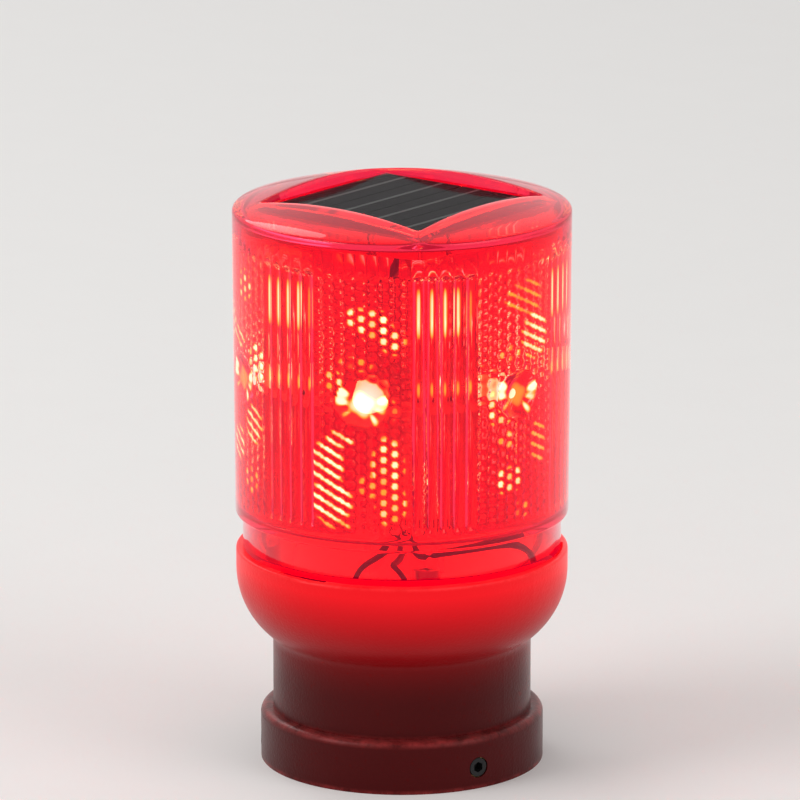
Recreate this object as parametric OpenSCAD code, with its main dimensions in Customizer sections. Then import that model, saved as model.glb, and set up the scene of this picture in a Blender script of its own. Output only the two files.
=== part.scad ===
// Solar LED safety flare: a prismatic red lens with a solar tile in its domed top,
// twist-locked into a cup-shaped base with a socket for a pole.
// Millimetres, +Z up, origin at the centre of the base's underside.

/* [Lens] */
// Outer diameter of the lens at its top rim
lens_d = 70; // [69:0.5:84]
// Height of the lens's prismatic wall
lens_h = 64.5; // [52:0.5:90]
// Wall thickness of the lens
lens_wall = 2.4; // [2:0.1:3]
// Draft of the lens: how much smaller its radius is at the bottom than at the rim
lens_draft = 0.4; // [0:0.1:0.8]
// Rise of the domed top above the rim
dome_rise = 5; // [3:0.5:8]
// Number of optic panels, each with one LED behind it
optic_count = 6; // [4:1:6]
// Angle of the first optic panel from the +X axis
optic_turn = -6; // [-30:1:30]
// Width of one bank of vertical flutes between two optic panels, in degrees
flute_bank = 24; // [16:1:28]
// Vertical flutes in one bank
flute_count = 5; // [3:1:6]
// Radius of one flute
flute_r = 1.2; // [0.9:0.1:1.4]

/* [Neck of the lens] */
// Height of the plain band that shows between the lens and the base
band_h = 7.5; // [5:0.5:12]
// How far the band is set in from the rim of the base's cup
band_inset = 1.4; // [1:0.1:2.2]
// Depth of the spigot that plugs into the base
spigot_h = 8; // [7.5:0.1:10]
// Thickness of the O-ring
oring_t = 1.9; // [1.6:0.1:2]
// Angle through which the lens turns to unlock
unlock_angle = 30; // [20:1:40]

/* [Solar tile] */
// Side of the square solar tile
tile_side = 41; // [34:0.5:42]
// Thickness of the tile, cover included
tile_t = 2.5; // [2.2:0.1:3]
// Solar cell strips on the tile
cell_count = 4; // [2:1:6]

/* [Base] */
// Height of the base, up to the rim of its cup
base_h = 45.5; // [45:0.5:60]
// How far the cup's wall is set in from the lens rim
cup_step = 0.5; // [0:0.1:0.5]
// Wall thickness of the base
base_wall = 2.4; // [2.2:0.1:3]
// Radius of the bowl under the cup's straight wall
bowl_r = 17.5; // [16.5:0.5:19]
// Height of the cup's straight wall
cup_wall_h = 4.5; // [4:0.5:8]
// Outer diameter of the neck round the pole socket
neck_d = 53.8; // [53:0.2:58]
// Radius of the fillet under the bowl, where it meets the neck
neck_fillet = 3; // [1:0.5:4]
// Outer diameter of the foot ring
foot_d = 59; // [58:0.5:64]
// Height of the foot ring
foot_h = 11; // [8:0.5:14]
// Bore of the pole socket
socket_d = 49; // [40:0.5:49]
// Depth of the pole socket
socket_depth = 23; // [18:0.5:23]
// Angle of the first pole screw from the +X axis
pole_screw_turn = -19; // [-60:1:60]

/* [LEDs] */
// Height of the LEDs' axes above the underside
led_z = 83.5; // [70:0.5:95]
// Diameter of an LED's body
led_d = 5; // [3:1:5]
// Length of an LED, from its flange to its tip
led_l = 8.6; // [5:0.1:9]
// Gap between an LED's tip and the lens wall
led_gap = 2.2; // [2:0.1:6]

/* [Hidden] */
$fn = 96;

// clearances
running = 0.05;      // a pin or screw in its own hole
loose = 0.3;         // between the two halves of the twist lock
slip = 0.2;          // a part dropped into its pocket
over = 1;            // how far a cutting shape runs past a face
root = 0.5;          // how far a boss or rib is rooted in what it grows from

// heights
bowl_z = base_h - cup_wall_h;
spigot_z = base_h - spigot_h;
lens_z = base_h + band_h;
rim_z = lens_z + lens_h;
top_z = rim_z + dome_rise;

// radii
lens_r = lens_d / 2;
lens_low_r = lens_r - lens_draft;
cup_r = lens_r - cup_step;
band_r = cup_r - band_inset;
cup_in_r = cup_r - base_wall;
spigot_r = cup_in_r - loose - running;
spigot_in_r = spigot_r - lens_wall;
neck_r = neck_d / 2;
foot_r = foot_d / 2;
socket_r = socket_d / 2;
bowl_mid_r = cup_r - bowl_r;
bowl_in_r = bowl_r - base_wall;
cavity_z = bowl_z - bowl_in_r;
rim_round = 0.6;
foot_round = 1.6;

// domed top
dome_r = (pow(lens_r, 2) + pow(dome_rise, 2)) / (2 * dome_rise);
dome_z = top_z - dome_r;
pocket_side = tile_side + 2 * slip;
pocket_corner_z = dome_z + sqrt(pow(dome_r, 2) - pow(pocket_side, 2) / 2);
tile_recess = 0.5;
tile_top = pocket_corner_z - tile_recess;
substrate_t = 1.6;
adhesive_t = 0.4;
cell_t = 0.25;
busbar_t = 0.06;
tile_z = tile_top - tile_t;
pocket_z = tile_z - adhesive_t;
pocket_floor_t = 2.2;
pocket_wall = 2;
pocket_under = pocket_z - pocket_floor_t;
cell_margin = 1;     // from the tile's edge to its cells
cell_gap = 0.5;      // between two cells
cell_pitch = (tile_side - 2 * cell_margin) / cell_count;
cell_z0 = tile_z + substrate_t;
busbar_w = 0.9;
lead_hole_r = 2;
lead_short = 0.1;    // how far a lead's end stops short of what it is soldered to

// twist lock
lug_count = 3;
lug_angle = 18;
lug_t = 1.8;
lug_reach = 1.3;
lug_top = base_h - 1.5;
slot_r = spigot_r + lug_reach + loose;
slot_gap = 1.5;      // angular play of a lug, in degrees
way_in_extra = 0.15; // how much deeper the way in is than the level run
slot_floor = lug_top - lug_t - loose;
oring_z = spigot_z + 2.2;
oring_mid_r = spigot_r + 0.1 - oring_t / 2;
groove_h = oring_t + 0.5;
groove_r = oring_mid_r - oring_t / 2 - running;

// optics inside the lens
wall_z = lens_z + lens_wall * 0.6;
flute_foot = 2;      // plain wall left under the flutes
flute_head = 3;      // and above them
bull_r = 11;         // a bullseye's surface
bull_rise = 1.6;
bull_edge_r = 7;

// chassis
plate_t = 1.8;
plate_top = base_h + 0.9;
plate_z = plate_top - plate_t;
plate_r = spigot_in_r - 0.8;
boss_r = 3;
boss_at = 24.5;
boss_angles = [-40, -140, 90];
m3_r = 1.45;
m3_head_r = 2.8;
m3_head_h = 1.8;
m3_l = 8;
board_t = 1.6;
led_tip_r = lens_low_r - lens_wall - led_gap;
led_board_r = led_tip_r - led_l - 0.8;
led_flange_r = led_d / 2 + 0.4;
led_board_top = led_z - led_flange_r - 0.4;
mast_r = 6;
mast_bore_r = 4.2;
mast_head_r = 9.5;
mast_head_h = 6;
mast_plug = 1.2;     // the mast's solid root
mast_window = 6.8;
mast_window_h = 6.4;
mast_window_z = plate_top + 1.6;
mast_window_turn = -50;
gusset_count = 6;
gusset_turn = 40;
gusset_t = 1.4;
gusset_reach = 9;
gusset_h = 12;
mast_screw_at = 6.9;
m2_r = 0.95;
m2_head_r = 1.9;
m2_head_h = 1.3;
m2_l = 5;
led_flange_at = led_tip_r - led_l;
lead_side = 0.5;
lead_pitch = 2.54;
lead_drop_at = led_flange_at - 2.6;
lead_tail = 1;       // how far an LED's lead shows under its board
resistor = [1.3, 2, 0.6];
resistor_at = led_board_r - 5;
header = [7.4, 5.6, 3.6];
header_wall = 0.6;
header_floor = 1;
plug_gap = 0.1;
plug_top = led_board_top + 7;

// pole screws
pole_screw_count = 3;
pole_screw_z = 4.5;
pole_screw_r = 1.95;
insert_r = 3.2;
insert_l = 3.3;
tap_r = pole_screw_r + running;

// driver board, with the switch under it
driver_x = 25;
driver_y = 14.8;
driver_near = 10.2;
driver_z = cavity_z + 8.6;
driver_post_x = 9.5;
driver_post_y = -21.5;
driver_post_r = 2.2;
driver_top = driver_z + board_t;
switch_y = -14.5;
switch_side = 7;
switch_h = 5.3;
stem_r = 1.6;
stem_in = 2;         // how far the button's stem reaches into the switch
button_r = 4;
button_recess = 0.4;
button_flange_r = 4.6;
button_flange_z = cavity_z + 0.35;
button_flange_t = 0.8;
button_travel = 1.2;
chip_at = [-6.5, -14];
chip = [4.9, 3.9, 1.5];
chip_lift = 0.2;
chip_pins = 4;       // on each side
pin_pitch = 1.27;
pin = [0.4, 1.1, 0.7];
inductor_at = [2.6, -20.6];
inductor_r = 3.6;
inductor_core_r = 2;
inductor_h = 4.2;
inductor_flange = 0.9;
capacitor_at = [-3.6, -19.6];
capacitor_r = 2;
capacitor_h = 5.4;
capacitor_top = 0.4;

// battery: one AA cell on its side
cell_r = 7.25;
can_l = 49;
cap_r = 2.7;
cap_l = 1.4;
sleeve_t = 0.15;
tray_floor_z = cavity_z + 2.1;
cell_z = tray_floor_z + 8.6;
can_x = 24.7;        // the can's positive end
contact_t = 0.4;
contact_x = can_x + cap_l;
contact_w = 12;
tab_y = -4.8;
tab_w = 2.4;
tab_h = 1.9;
spring_gap = contact_x - (can_l - can_x);   // from the can's flat end to its contact
spring_wire_r = 0.3;
spring_turns = 3;
spring_steps = 14;   // points in one turn
spring_r = 5;
spring_tip_r = 1.8;
spring_clear = 0.05;
tray_r = min(28.1, spigot_in_r - 1);
tray_wall = 1.2;
tray_half = cell_r + slip + tray_wall;
tray_low_x = 20;
tray_step_z = tray_floor_z + 3;
tray_top = cell_z + 4.9;
contact_low = tray_step_z + 1;
rib_x = 13;

// wires inside the light
wire_r = 0.55;
wire_hole_r = 0.9;
// the three black leads from the driver to the LED board: heights from the driver board's top,
// up to where they rise to the chassis plate
low_a = [[7, -23.6, 0.1], [7, -24.2, 2.3], [8, -25.4, 4.9]];
low_b = [[11.2, -17.4, 0.2], [11.5, -17.6, 1.5], [13.4, -18.8, 3.3], [15.6, -20, 5.1]];
low_c = [[11.4, -12.6, -2.5], [13.6, -12.4, -2.9], [16.6, -11.6, -4.5], [20.2, -10.6, -6.1],
    [21.4, -6, -7.9], [21.6, 0, -8.2], [21.8, 6, -7.5], [23.4, 9.9, -5.1], [24.8, 10.4, -1.7]];
// then heights from the chassis plate's top, through its holes and over to the mast
high_a = [[8.6, -25.7, -3], [8.6, -25.7, -1], [8.6, -25.6, 0.3], [9.6, -24.4, 2.4],
    [11.6, -21.4, 4], [11, -16.5, 4.6], [8, -11.5, 4.4], [4.6, -6.6, 4.2], [1.6, -3.4, 5],
    [0.2, -1.9, 8]];
high_b = [[17.2, -20.6, -3], [17.2, -20.6, -1], [17, -20.6, 0.3], [15.8, -21, 1.8],
    [14.2, -20.8, 2.6], [13.2, -18.6, 2.6], [11, -14, 2.4], [8.6, -9.4, 2.6], [6.4, -5.2, 3.6],
    [3.6, -1.4, 5.2], [2, 0.4, 8.2]];
high_c = [[25.6, 10.2, -7], [26, 9.6, -3], [26, 9.6, -1], [26, 9.5, 0.4], [26.4, 7, 2.4],
    [26.8, 2.6, 3.8], [26.8, -3, 4.6], [25, -9.6, 4.8], [22, -15, 4.6], [18.6, -17.8, 4.2],
    [14, -14.6, 5.4], [10, -9.4, 6.2], [6, -4.8, 6.6], [2.4, -1.6, 7.6], [-0.8, 0.2, 9.6]];
lead_tops = [[0, -2], [1.9, 1.2], [-1.9, 1.2]];
lead_holes = [[8.6, -25.7], [17.2, -20.6], [26, 9.6]];
lead_mast_z = 12;    // where a lead has reached its place in the mast, above the plate
// the battery's leads, from the contacts to the driver board: heights from the cell's axis
battery_route = [[25.4, -5.4, 6.2], [24.4, -9.6, 6], [21.4, -10.6, 4.4], [17.6, -10.7, 2.4],
    [14, -11.2, 1.6], [11.4, -12.4, 1.2], [10.6, -12.6, 0.1]];
// the solar tile's leads: heights from the tile's underside, then from the plug's top
panel_top = [[1, 0, 0], [1, 0, -3.4], [1.4, 0, -7.4]];
panel_route = [[2.6, 0, 10.8], [2, 0, 5.8], [1.2, 0, 2.8], [1.1, 0, 0.4]];

// ---------- helpers ----------

// repeats its children round the Z axis
module ring_of(count, turn = 0) {
    for (i = [0 : count - 1])
        rotate(turn + i * 360 / count) children();
}

// a ring of rectangular section, from radius a to b and height z0 to z1
module band(a, b, z0, z1) {
    rotate_extrude() translate([a, z0]) square([b - a, z1 - z0]);
}

// a sector of a ring, from angle 0 to sweep
module sector(a, b, z0, z1, sweep) {
    rotate_extrude(angle = sweep) translate([a, z0]) square([b - a, z1 - z0]);
}

module cyl(r, z0, z1) {
    translate([0, 0, z0]) cylinder(r = r, h = z1 - z0);
}

// a box centred in X and Y
module slab(x, y, z0, z1) {
    translate([-x / 2, -y / 2, z0]) cube([x, y, z1 - z0]);
}

// a cylinder along +X from x0 to x1
module rod(r, x0, x1) {
    translate([x0, 0, 0]) rotate([0, 90, 0]) cylinder(r = r, h = x1 - x0);
}

// a round wire swept along a route, as one closed polyhedron
function unit(v) = v / norm(v);
function cr(p0, p1, p2, p3, t) =
    0.5 * (2 * p1 + (p2 - p0) * t + (2 * p0 - 5 * p1 + 4 * p2 - p3) * t * t
    + (3 * p1 - p0 - 3 * p2 + p3) * t * t * t);
function smooth(route, steps) = let (n = len(route)) [
    for (i = [0 : n - 2], k = [0 : steps - 1])
        cr(route[max(i - 1, 0)], route[i], route[i + 1], route[min(i + 2, n - 1)], k / steps),
    route[n - 1]];
module wire(route, r, sides = 8, steps = 3) {
    line = smooth(route, steps);
    n = len(line);
    points = [for (i = [0 : n - 1])
        let (along = unit(line[min(i + 1, n - 1)] - line[max(i - 1, 0)]),
             side = unit(cross(along, abs(along.x) > 0.8 ? [0, 1, 0] : [1, 0, 0])),
             up = cross(side, along))
            for (k = [0 : sides - 1])
                line[i] + r * (cos(k * 360 / sides) * side + sin(k * 360 / sides) * up)];
    walls = [for (i = [0 : n - 2], k = [0 : sides - 1])
        let (a = i * sides + k, b = i * sides + (k + 1) % sides)
            [a, b, b + sides, a + sides]];
    polyhedron(points, concat([[for (k = [sides - 1 : -1 : 0]) k]], walls,
        [[for (k = [0 : sides - 1]) (n - 1) * sides + k]]), convexity = 4);
}

// a pan-head screw with a cross recess, its head's underside at z = 0
module pan_screw(r, l, head_r, head_h) {
    difference() {
        union() {
            cyl(r, -l, 0);
            cyl(head_r, 0, head_h);
        }
        for (a = [0, 90])
            rotate(a) slab(head_r * 1.1, head_r * 0.3, head_h * 0.45, head_h + over);
    }
}

// ---------- base ----------

module base_outline() {
    // foot ring, with a rounded ledge on top
    square([foot_r, foot_h - foot_round]);
    square([foot_r - foot_round, foot_h]);
    translate([foot_r - foot_round, foot_h - foot_round]) circle(foot_round);
    // neck, bowl and cup
    square([neck_r, bowl_z]);
    intersection() {
        translate([bowl_mid_r, bowl_z]) circle(bowl_r);
        translate([bowl_mid_r, bowl_z - bowl_r]) square(bowl_r);
    }
    neck_fillet_fill();
    translate([0, bowl_z]) square([cup_r, cup_wall_h - rim_round]);
    translate([0, bowl_z]) square([cup_r - rim_round, cup_wall_h]);
    translate([cup_r - rim_round, base_h - rim_round]) circle(rim_round);
}

// the concave corner between the neck and the bowl
module neck_fillet_fill() {
    reach = bowl_r + neck_fillet;
    away = neck_r + neck_fillet - bowl_mid_r;
    drop = sqrt(pow(reach, 2) - pow(away, 2));
    difference() {
        polygon([[neck_r - over, bowl_z - drop], [neck_r + neck_fillet, bowl_z - drop],
            [bowl_mid_r + away * bowl_r / reach, bowl_z - drop * bowl_r / reach],
            [neck_r - over, bowl_z - drop * bowl_r / reach]]);
        translate([neck_r + neck_fillet, bowl_z - drop]) circle(neck_fillet);
    }
}

module base_cavity() {
    // bowl
    intersection() {
        translate([bowl_mid_r, bowl_z]) circle(bowl_in_r);
        translate([bowl_mid_r, cavity_z]) square(bowl_in_r);
    }
    translate([0, cavity_z]) square([bowl_mid_r, base_h - cavity_z + over]);
    // seat of the spigot
    translate([0, spigot_z - loose]) square([cup_in_r, spigot_h + loose + over]);
    // pole socket
    translate([0, -over]) square([socket_r, socket_depth + over]);
}

module lock_slots() {
    ring_of(lug_count) {
        // level run in which the lug turns
        rotate(-lug_angle / 2 - slot_gap)
            sector(cup_in_r - over, slot_r, slot_floor, lug_top + loose,
                lug_angle + unlock_angle + slot_gap);
        // way in, at the unlocked end
        rotate(unlock_angle - lug_angle / 2 - slot_gap)
            sector(cup_in_r - over, slot_r + way_in_extra, slot_floor - way_in_extra,
                base_h + over, lug_angle + 2 * slot_gap);
    }
}

module pole_screw_place(i) {
    rotate(pole_screw_turn + i * 360 / pole_screw_count)
        translate([0, 0, pole_screw_z]) children();
}

module base_housing() {
    color("firebrick") {
        difference() {
            rotate_extrude() difference() {
                base_outline();
                base_cavity();
            }
            lock_slots();
            for (i = [0 : pole_screw_count - 1])
                pole_screw_place(i) {
                    rod(tap_r + slip, socket_r - over, foot_r + over);
                    rod(insert_r, socket_r - over, socket_r + slip + insert_l);
                }
            translate([0, switch_y, 0])
                cyl(button_r + slip, socket_depth - over, cavity_z + over);
        }
        // bosses for the chassis screws
        intersection() {
            for (a = boss_angles)
                rotate(a) translate([boss_at, 0, 0]) difference() {
                    cyl(boss_r, cavity_z - root, plate_z);
                    cyl(m3_r + running, plate_z - m3_l, plate_z + over);
                }
            bowl_block(plate_z);
        }
        // posts for the driver board and ribs under the battery tray
        intersection() {
            union() {
                for (s = [-1, 1])
                    translate([s * driver_post_x, driver_post_y, 0]) difference() {
                        cyl(driver_post_r, cavity_z - root, driver_z);
                        cyl(m2_r + running, driver_z - m2_l, driver_z + over);
                    }
                for (s = [-1, 1])
                    translate([s * rib_x, 0, 0])
                        slab(base_wall, 2 * tray_half, cavity_z - root, tray_floor_z);
            }
            bowl_block(driver_z);
        }
    }
}

// what lies inside the bowl's wall, so that a boss can grow out of the wall without showing outside
module bowl_block(z) {
    rotate_extrude() {
        intersection() {
            translate([bowl_mid_r, bowl_z]) circle(bowl_r - base_wall / 2);
            translate([bowl_mid_r, bowl_z - bowl_r]) square(bowl_r);
        }
        translate([0, cavity_z - root]) square([bowl_mid_r, bowl_z - cavity_z + root]);
        translate([0, bowl_z]) square([spigot_in_r - loose, max(z - bowl_z, 0.01)]);
    }
}

module screw_inserts() {
    color("goldenrod")
        for (i = [0 : pole_screw_count - 1])
            pole_screw_place(i) difference() {
                rod(insert_r, socket_r + slip, socket_r + slip + insert_l);
                rod(tap_r, socket_r, socket_r + insert_l + over);
            }
}

module pole_screw(i) {
    color("black") pole_screw_place(i) difference() {
        rod(pole_screw_r, socket_r + slip, foot_r - slip);
        translate([foot_r - 2.2, 0, 0]) rotate([0, 90, 0]) cylinder(r = 1.15, h = 3, $fn = 6);
    }
}

// ---------- chassis and LEDs ----------

module chassis() {
    color("whitesmoke") {
        difference() {
            union() {
                cyl(plate_r, plate_z, plate_top);
                cyl(mast_r, plate_top, led_board_top - board_t);
                cyl(mast_head_r, led_board_top - board_t - mast_head_h, led_board_top - board_t);
                // gussets at the mast's root
                ring_of(gusset_count, gusset_turn) translate([0, -gusset_t / 2, 0])
                    rotate([90, 0, 0]) mirror([0, 0, 1]) linear_extrude(gusset_t)
                        polygon([[mast_r - over, plate_top - root],
                            [mast_r + gusset_reach, plate_top - root],
                            [mast_r + gusset_reach, plate_top + 1],
                            [mast_r - over, plate_top + gusset_h]]);
            }
            cyl(mast_bore_r, plate_top + mast_plug, led_board_top + over);
            // window through which the leads enter the mast
            rotate(mast_window_turn) translate([0, -mast_window / 2, mast_window_z])
                cube([mast_r + over, mast_window, mast_window_h]);
            for (a = boss_angles)
                rotate(a) translate([boss_at, 0, 0]) cyl(m3_r + slip, plate_z - over, plate_top + over);
            for (s = [-1, 1])
                translate([0, s * mast_screw_at, 0])
                    cyl(m2_r + running, led_board_top - board_t - m2_l, led_board_top + over);
            for (p = lead_holes)
                translate([p.x, p.y, 0]) cyl(wire_hole_r, plate_z - over, plate_top + over);
        }
    }
}

module chassis_screws() {
    color("silver")
        for (a = boss_angles)
            rotate(a) translate([boss_at, 0, plate_top]) pan_screw(m3_r, m3_l, m3_head_r, m3_head_h);
}

module led_place(i) {
    rotate(optic_turn + i * 360 / optic_count) translate([0, 0, led_z]) children();
}

module led_board() {
    color("seagreen") difference() {
        cyl(led_board_r, led_board_top - board_t, led_board_top);
        for (i = [0 : optic_count - 1], s = [-1, 1])
            led_place(i) translate([lead_drop_at, s * lead_pitch / 2, -led_z])
                cyl(lead_side * 0.75 + running, led_board_top - board_t - over, led_board_top + over);
        for (s = [-1, 1])
            translate([0, s * mast_screw_at, 0])
                cyl(m2_r + slip, led_board_top - board_t - over, led_board_top + over);
    }
}

module led_board_screws() {
    color("silver")
        for (s = [-1, 1])
            translate([0, s * mast_screw_at, led_board_top])
                pan_screw(m2_r, board_t + m2_l - 1, m2_head_r, m2_head_h);
}

module led(i) {
    color("crimson") led_place(i) {
        rod(led_flange_r, led_flange_at, led_flange_at + 1);
        rod(led_d / 2, led_flange_at, led_tip_r - led_d / 2);
        translate([led_tip_r - led_d / 2, 0, 0]) sphere(led_d / 2);
    }
}

module led_leads() {
    end_z = led_board_top - board_t - lead_tail - led_z;
    color("silver")
        for (i = [0 : optic_count - 1], s = [-1, 1])
            led_place(i) translate([lead_drop_at - lead_side / 2, s * lead_pitch / 2 - lead_side / 2, 0]) {
                translate([0, 0, -lead_side / 2])
                    cube([led_flange_at - lead_drop_at + lead_side / 2, lead_side, lead_side]);
                translate([0, 0, end_z]) cube([lead_side, lead_side, -end_z]);
            }
}

module led_resistors() {
    color("black")
        ring_of(optic_count, optic_turn + 180 / optic_count)
            translate([resistor_at, 0, 0])
                slab(resistor.x, resistor.y, led_board_top, led_board_top + resistor.z);
}

module panel_header() {
    color("ivory") difference() {
        slab(header.x, header.y, led_board_top, led_board_top + header.z);
        slab(header.x - 2 * header_wall, header.y - 2 * header_wall,
            led_board_top + header_floor, led_board_top + header.z + over);
    }
}

module panel_plug() {
    inset = 2 * (header_wall + plug_gap);
    color("ivory")
        slab(header.x - inset, header.y - inset, led_board_top + header_floor + running, plug_top);
}

// ---------- driver and switch ----------

module driver_board() {
    color("seagreen") difference() {
        translate([0, -driver_near - driver_y / 2, 0])
            slab(driver_x, driver_y, driver_z, driver_z + board_t);
        for (s = [-1, 1])
            translate([s * driver_post_x, driver_post_y, 0])
                cyl(m2_r + slip, driver_z - over, driver_z + board_t + over);
    }
}

module driver_screws() {
    color("silver")
        for (s = [-1, 1])
            translate([s * driver_post_x, driver_post_y, driver_z + board_t])
                pan_screw(m2_r, board_t + m2_l - 1, m2_head_r, m2_head_h);
}

module driver_chip() {
    chip_z = driver_top + chip_lift;
    color("black") translate(chip_at) slab(chip.x, chip.y, chip_z, chip_z + chip.z);
    color("silver")
        for (k = [0 : chip_pins - 1], s = [-1, 1])
            translate([chip_at.x + (k - (chip_pins - 1) / 2) * pin_pitch,
                chip_at.y + s * (chip.y + pin.y) / 2, 0])
                slab(pin.x, pin.y, driver_top, driver_top + pin.z);
}

module boost_inductor() {
    color("dimgray") translate(inductor_at) {
        cyl(inductor_r, driver_top, driver_top + inductor_flange);
        cyl(inductor_core_r, driver_top + inductor_flange, driver_top + inductor_h - inductor_flange);
        cyl(inductor_r, driver_top + inductor_h - inductor_flange, driver_top + inductor_h);
    }
}

module buffer_capacitor() {
    color("navy") translate(capacitor_at) {
        cyl(capacitor_r, driver_top, driver_top + capacitor_h - capacitor_top);
        cyl(capacitor_r - slip, driver_top, driver_top + capacitor_h);
    }
}

module switch_body() {
    color("dimgray") translate([0, switch_y, 0]) difference() {
        slab(switch_side, switch_side, driver_z - switch_h, driver_z);
        cyl(stem_r + plug_gap, driver_z - switch_h - over,
            driver_z - switch_h + stem_in + button_travel + slip);
    }
}

module switch_button() {
    color("black") translate([0, switch_y, 0]) {
        cyl(button_r, socket_depth + button_recess, button_flange_z + root);
        cyl(button_flange_r, button_flange_z, button_flange_z + button_flange_t);
        cyl(stem_r, button_flange_z, driver_z - switch_h + stem_in);
    }
}

// ---------- battery ----------

module battery_tray() {
    bay = can_l + cap_l + spring_gap;
    color("gray") difference() {
        intersection() {
            union() {
                slab(2 * tray_low_x, 2 * tray_half, tray_floor_z, tray_step_z + root);
                slab(2 * tray_r, 2 * tray_half, tray_step_z, tray_top);
            }
            cyl(tray_r, 0, base_h);
        }
        translate([0, 0, cell_z]) {
            rod(cell_r + slip, contact_x - bay, contact_x);
            translate([contact_x - bay, -cell_r - slip, 0])
                cube([bay, 2 * (cell_r + slip), cell_r + tray_top]);
        }
        // slots that hold the contacts
        for (s = [-1, 1])
            translate([s * (contact_x + contact_t / 2), 0, 0])
                slab(contact_t + 2 * running, contact_w + 2 * running,
                    contact_low - running, tray_top + over);
    }
}

module battery_can() {
    color("silver") translate([0, 0, cell_z]) rod(cell_r - sleeve_t, can_x - can_l, can_x);
}

module battery_cap() {
    color("silver") translate([0, 0, cell_z]) rod(cap_r, can_x, contact_x);
}

module battery_sleeve() {
    color("limegreen") translate([0, 0, cell_z]) difference() {
        rod(cell_r, can_x - can_l, can_x);
        rod(cell_r - sleeve_t, can_x - can_l - over, can_x + over);
    }
}

module contact(s) {
    translate([s * (contact_x + contact_t / 2), 0, 0]) {
        slab(contact_t, contact_w, contact_low, tray_top);
        translate([0, tab_y, 0]) slab(contact_t, tab_w, contact_low, tray_top + tab_h);
    }
}

module positive_contact() {
    color("silver") contact(1);
}

module negative_contact() {
    color("silver") contact(-1);
}

// flat conical spring, squeezed between the can and its contact
module contact_spring() {
    start = spring_wire_r + spring_clear;
    route = [for (i = [0 : spring_steps * spring_turns])
        let (a = i * 360 / spring_steps, t = i / (spring_steps * spring_turns),
             r = spring_r + (spring_tip_r - spring_r) * t)
            [-contact_x + start + (spring_gap - 2 * start) * t, r * cos(a), cell_z + r * sin(a)]];
    color("silver") wire(route, spring_wire_r, sides = 6, steps = 1);
}

// ---------- wires ----------

module battery_lead(s) {
    wire([for (p = battery_route) [s * p.x, p.y, cell_z + p.z]], wire_r);
}

module battery_lead_red() {
    color("red") battery_lead(1);
}

module battery_lead_black() {
    color("black") battery_lead(-1);
}

module mast_lead(low, high, top) {
    end_z = led_board_top - board_t - lead_short;
    mast_z = plate_top + lead_mast_z;
    color("black") wire(concat([for (p = low) p + [0, 0, driver_top]],
        [for (p = high) p + [0, 0, plate_top]],
        [for (t = [0 : 3]) [top.x, top.y, mast_z + (end_z - mast_z) * t / 3]]), wire_r);
}

module panel_lead(s) {
    wire(concat([for (p = panel_top) [s * p.x, p.y, tile_z - lead_short + p.z]],
        [for (p = panel_route) [s * p.x, p.y, plug_top + p.z]]), wire_r);
}

module panel_lead_red() {
    color("red") panel_lead(1);
}

module panel_lead_black() {
    color("black") panel_lead(-1);
}

// ---------- lens ----------

module lens_outer() {
    difference() {
        union() {
            translate([0, 0, lens_z]) cylinder(r1 = lens_low_r, r2 = lens_r, h = lens_h);
            intersection() {
                translate([0, 0, dome_z]) sphere(dome_r);
                cyl(lens_r, rim_z, top_z + over);
            }
            cyl(band_r, base_h, lens_z + 0.5);
            cyl(spigot_r, spigot_z, base_h + 0.5);
        }
        // groove of the O-ring
        band(groove_r, spigot_r + over, oring_z - groove_h / 2, oring_z + groove_h / 2);
    }
    // lugs of the twist lock
    ring_of(lug_count) rotate(-lug_angle / 2)
        sector(spigot_r - 0.5, spigot_r + lug_reach, lug_top - lug_t, lug_top, lug_angle);
}

module lens_cavity() {
    difference() {
        union() {
            cyl(spigot_in_r, spigot_z - over, base_h + 2);
            cyl(band_r - lens_wall, base_h + lens_wall / 2, wall_z + root);
            intersection() {
                translate([0, 0, wall_z])
                    cylinder(r1 = lens_low_r - lens_wall, r2 = lens_r - lens_wall, h = top_z - wall_z);
                translate([0, 0, dome_z]) sphere(dome_r - lens_wall);
            }
        }
        // the solar tile's pocket hangs from the dome
        slab(pocket_side + 2 * pocket_wall, pocket_side + 2 * pocket_wall, pocket_under, top_z);
    }
}

module flutes() {
    ring_of(optic_count, optic_turn + 180 / optic_count)
        for (k = [0 : flute_count - 1])
            rotate((k - (flute_count - 1) / 2) * flute_bank / flute_count)
                translate([lens_low_r - lens_wall + flute_r * 0.4, 0, 0])
                    cyl(flute_r, wall_z + flute_foot, pocket_under - flute_head);
}

// a round bullseye on the inside of each optic panel, in front of its LED
module bullseyes() {
    wall_r = lens_low_r - lens_wall;
    for (i = [0 : optic_count - 1])
        led_place(i) intersection() {
            translate([wall_r - bull_rise + bull_r, 0, 0]) sphere(bull_r);
            rod(bull_edge_r, wall_r - bull_rise - over, wall_r + 1);
        }
}

module lens() {
    color("red", 0.5) {
        difference() {
            lens_outer();
            lens_cavity();
            slab(pocket_side, pocket_side, pocket_z, top_z + over);
            cyl(lead_hole_r, pocket_under - over, pocket_z + over);
        }
        flutes();
        bullseyes();
    }
}

module o_ring() {
    color("black") rotate_extrude() translate([oring_mid_r, oring_z]) circle(oring_t / 2);
}

// ---------- solar tile ----------

module solar_substrate() {
    color("darkslategray") slab(tile_side, tile_side, tile_z, cell_z0);
}

// one strip on each cell, narrow wide, from height z0 to z1
module cell_strips(wide, z0, z1) {
    for (i = [0 : cell_count - 1])
        translate([(i - (cell_count - 1) / 2) * cell_pitch, 0, 0])
            slab(wide, tile_side - 2 * cell_margin, z0, z1);
}

module solar_cells() {
    color("midnightblue") cell_strips(cell_pitch - cell_gap, cell_z0, cell_z0 + cell_t);
}

module solar_busbars() {
    color("silver") cell_strips(busbar_w, cell_z0 + cell_t, cell_z0 + cell_t + busbar_t);
}

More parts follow.
